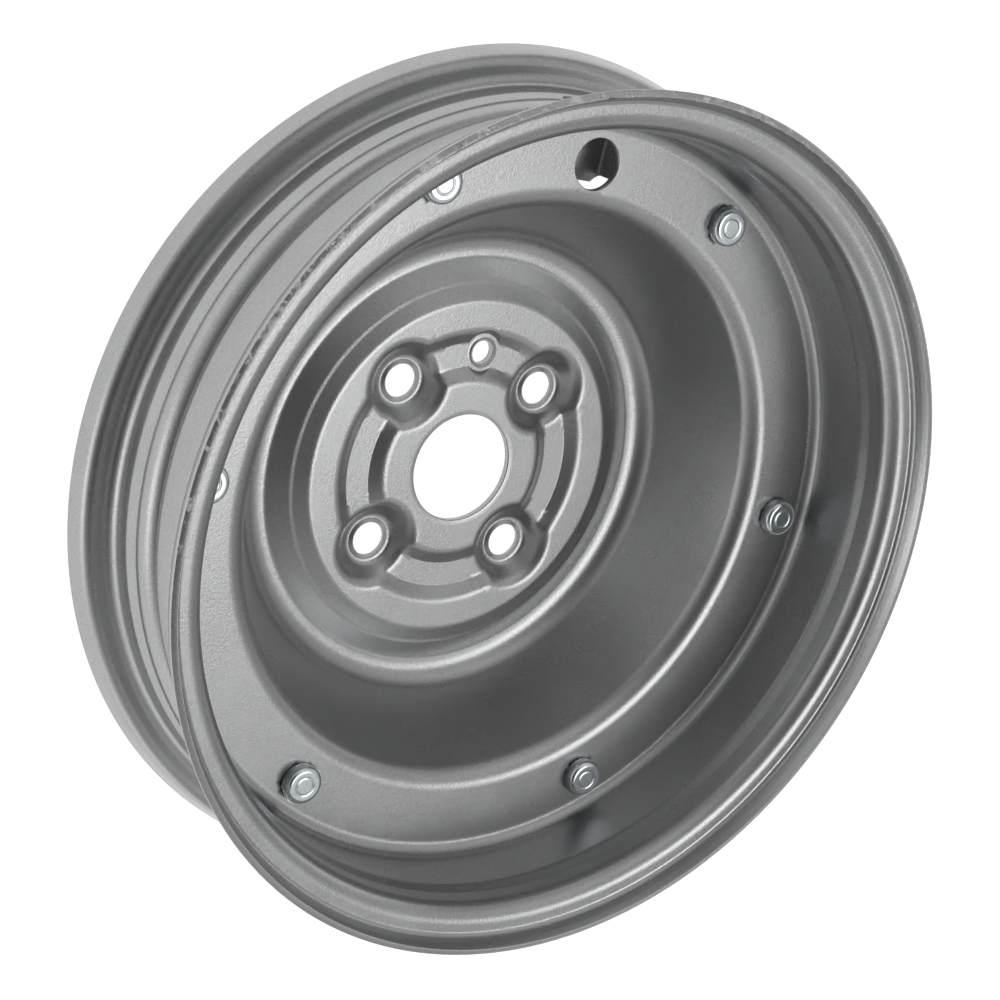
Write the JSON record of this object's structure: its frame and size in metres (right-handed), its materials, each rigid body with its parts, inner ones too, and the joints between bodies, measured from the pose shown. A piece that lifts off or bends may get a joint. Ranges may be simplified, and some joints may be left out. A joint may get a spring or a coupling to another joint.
{
  "type": "split rim wheel",
  "caption": "Small pressed steel wheel made of a dished front half and a ring-shaped rear half, bolted together so that a tyre can be fitted without tyre levers.",
  "frame": {"origin": "centre of the wheel's axis in the plane of the hub's rear mounting face", "axes": "+Z along the wheel's axis towards its front, +Y towards the valve hole"},
  "size_m": [0.276, 0.276, 0.0802],
  "materials": {
    "rim": "grey semi-gloss enamel with a light orange peel",
    "fasteners": "bright zinc plate"
  },
  "bodies": {
    "root": {"disc_half": "rim", "ring_half": "rim", "bolt_1": "fasteners", "bolt_2": "fasteners", "bolt_3": "fasteners", "bolt_4": "fasteners", "bolt_5": "fasteners", "bolt_6": "fasteners", "spring_washer_1": "fasteners", "spring_washer_2": "fasteners", "spring_washer_3": "fasteners", "spring_washer_4": "fasteners", "spring_washer_5": "fasteners", "spring_washer_6": "fasteners", "nut_1": "fasteners", "nut_2": "fasteners", "nut_3": "fasteners", "nut_4": "fasteners", "nut_5": "fasteners", "nut_6": "fasteners"}
  },
  "joints": []
}
